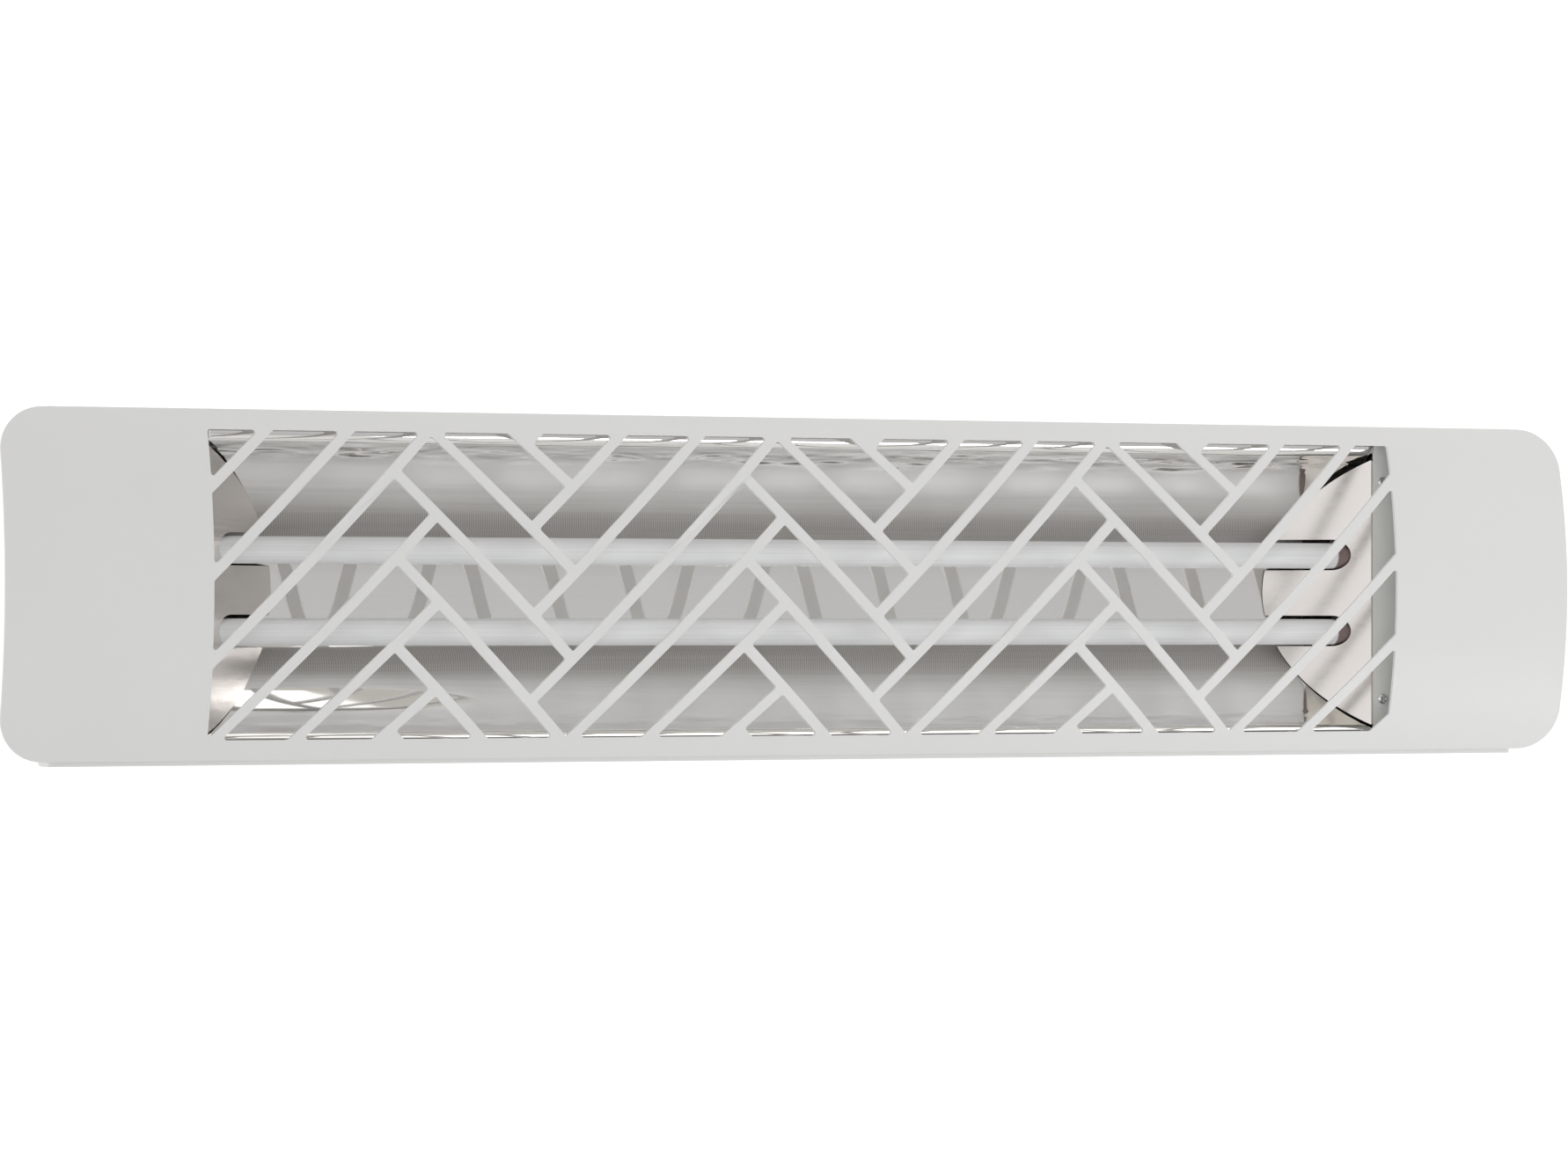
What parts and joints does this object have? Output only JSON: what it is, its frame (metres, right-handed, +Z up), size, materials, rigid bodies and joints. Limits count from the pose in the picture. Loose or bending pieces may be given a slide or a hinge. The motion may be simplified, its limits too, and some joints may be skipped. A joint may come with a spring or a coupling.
{
  "type": "infrared heat lamp warmer",
  "caption": "Wall-hung infrared heat lamp warmer: quartz tubes in a polished trough behind a bowed herringbone-cut faceplate, tilting on wall brackets.",
  "frame": {"origin": "centre of the four wall screws, on the wall plane behind the heater", "axes": "+X along the heater to the right as seen from the front, -Y out from the wall, +Z up"},
  "size_m": [0.997, 0.1812, 0.2],
  "materials": {
    "plate_paint": "satin powder coat",
    "housing_paint": "satin powder coat",
    "mirror_sheet": "polished",
    "end_sheet": "brushed",
    "cover_sheet": "satin",
    "inner_sheet": "mill finish",
    "quartz": "opal satin",
    "coil_wire": "oxidised",
    "ceramic": "matt ceramic",
    "terminal_brass": "plain",
    "spring_steel": "plain",
    "screw_steel": "bright",
    "zinc_steel": "zinc plated",
    "terminal_plastic": "matt",
    "lead_jacket": "matt braid",
    "gland_plastic": "matt",
    "gland_rubber": "matt",
    "bracket_paint": "satin powder coat"
  },
  "bodies": {
    "wall_mount": {"wall_bracket_left": "bracket_paint", "wall_bracket_right": "bracket_paint", "pivot_bolt_left": "zinc_steel", "pivot_bolt_right": "zinc_steel", "pivot_nuts": "zinc_steel", "pivot_washers": "zinc_steel"},
    "heater": {"faceplate": "plate_paint", "faceplate_posts": "screw_steel", "faceplate_ferrules": "spring_steel", "housing_shell": "housing_paint", "housing_end_left": "housing_paint", "housing_end_right": "housing_paint", "end_screws": "zinc_steel", "chassis_rivets": "zinc_steel", "reflector": "mirror_sheet", "reflector_end_left": "end_sheet", "reflector_end_right": "end_sheet", "end_cover_left": "cover_sheet", "end_cover_right": "cover_sheet", "cover_screws": "screw_steel", "reflector_support_left": "inner_sheet", "reflector_support_right": "inner_sheet", "lamp_tube_upper": "quartz", "lamp_tube_lower": "quartz", "heating_coil_upper": "coil_wire", "heating_coil_lower": "coil_wire", "lamp_cap_upper_left": "ceramic", "lamp_cap_upper_right": "ceramic", "lamp_cap_lower_left": "ceramic", "lamp_cap_lower_right": "ceramic", "lamp_terminals": "terminal_brass", "lamp_holder_left": "inner_sheet", "lamp_holder_right": "inner_sheet", "lamp_clips": "spring_steel", "terminal_block": "terminal_plastic", "terminal_screws": "terminal_brass", "lead_upper": "lead_jacket", "lead_lower": "lead_jacket", "return_lead_upper": "lead_jacket", "return_lead_lower": "lead_jacket", "earth_stud": "terminal_brass", "gland_body": "gland_plastic", "gland_seal": "gland_rubber", "gland_nut": "gland_plastic", "gland_locknut": "gland_plastic", "heater_bracket_left": "bracket_paint", "heater_bracket_right": "bracket_paint", "bracket_screws": "zinc_steel", "bracket_nuts": "zinc_steel", "clamp_bolt_left": "zinc_steel", "clamp_bolt_right": "zinc_steel", "clamp_nuts": "zinc_steel", "clamp_washers": "zinc_steel"}
  },
  "joints": [
    {"name": "heater_tilt", "type": "hinge", "parent": "wall_mount", "child": "heater", "pos_m": [0, -0.065, 0], "axis": [1, 0, 0], "range_deg": [0, 45]}
  ]
}
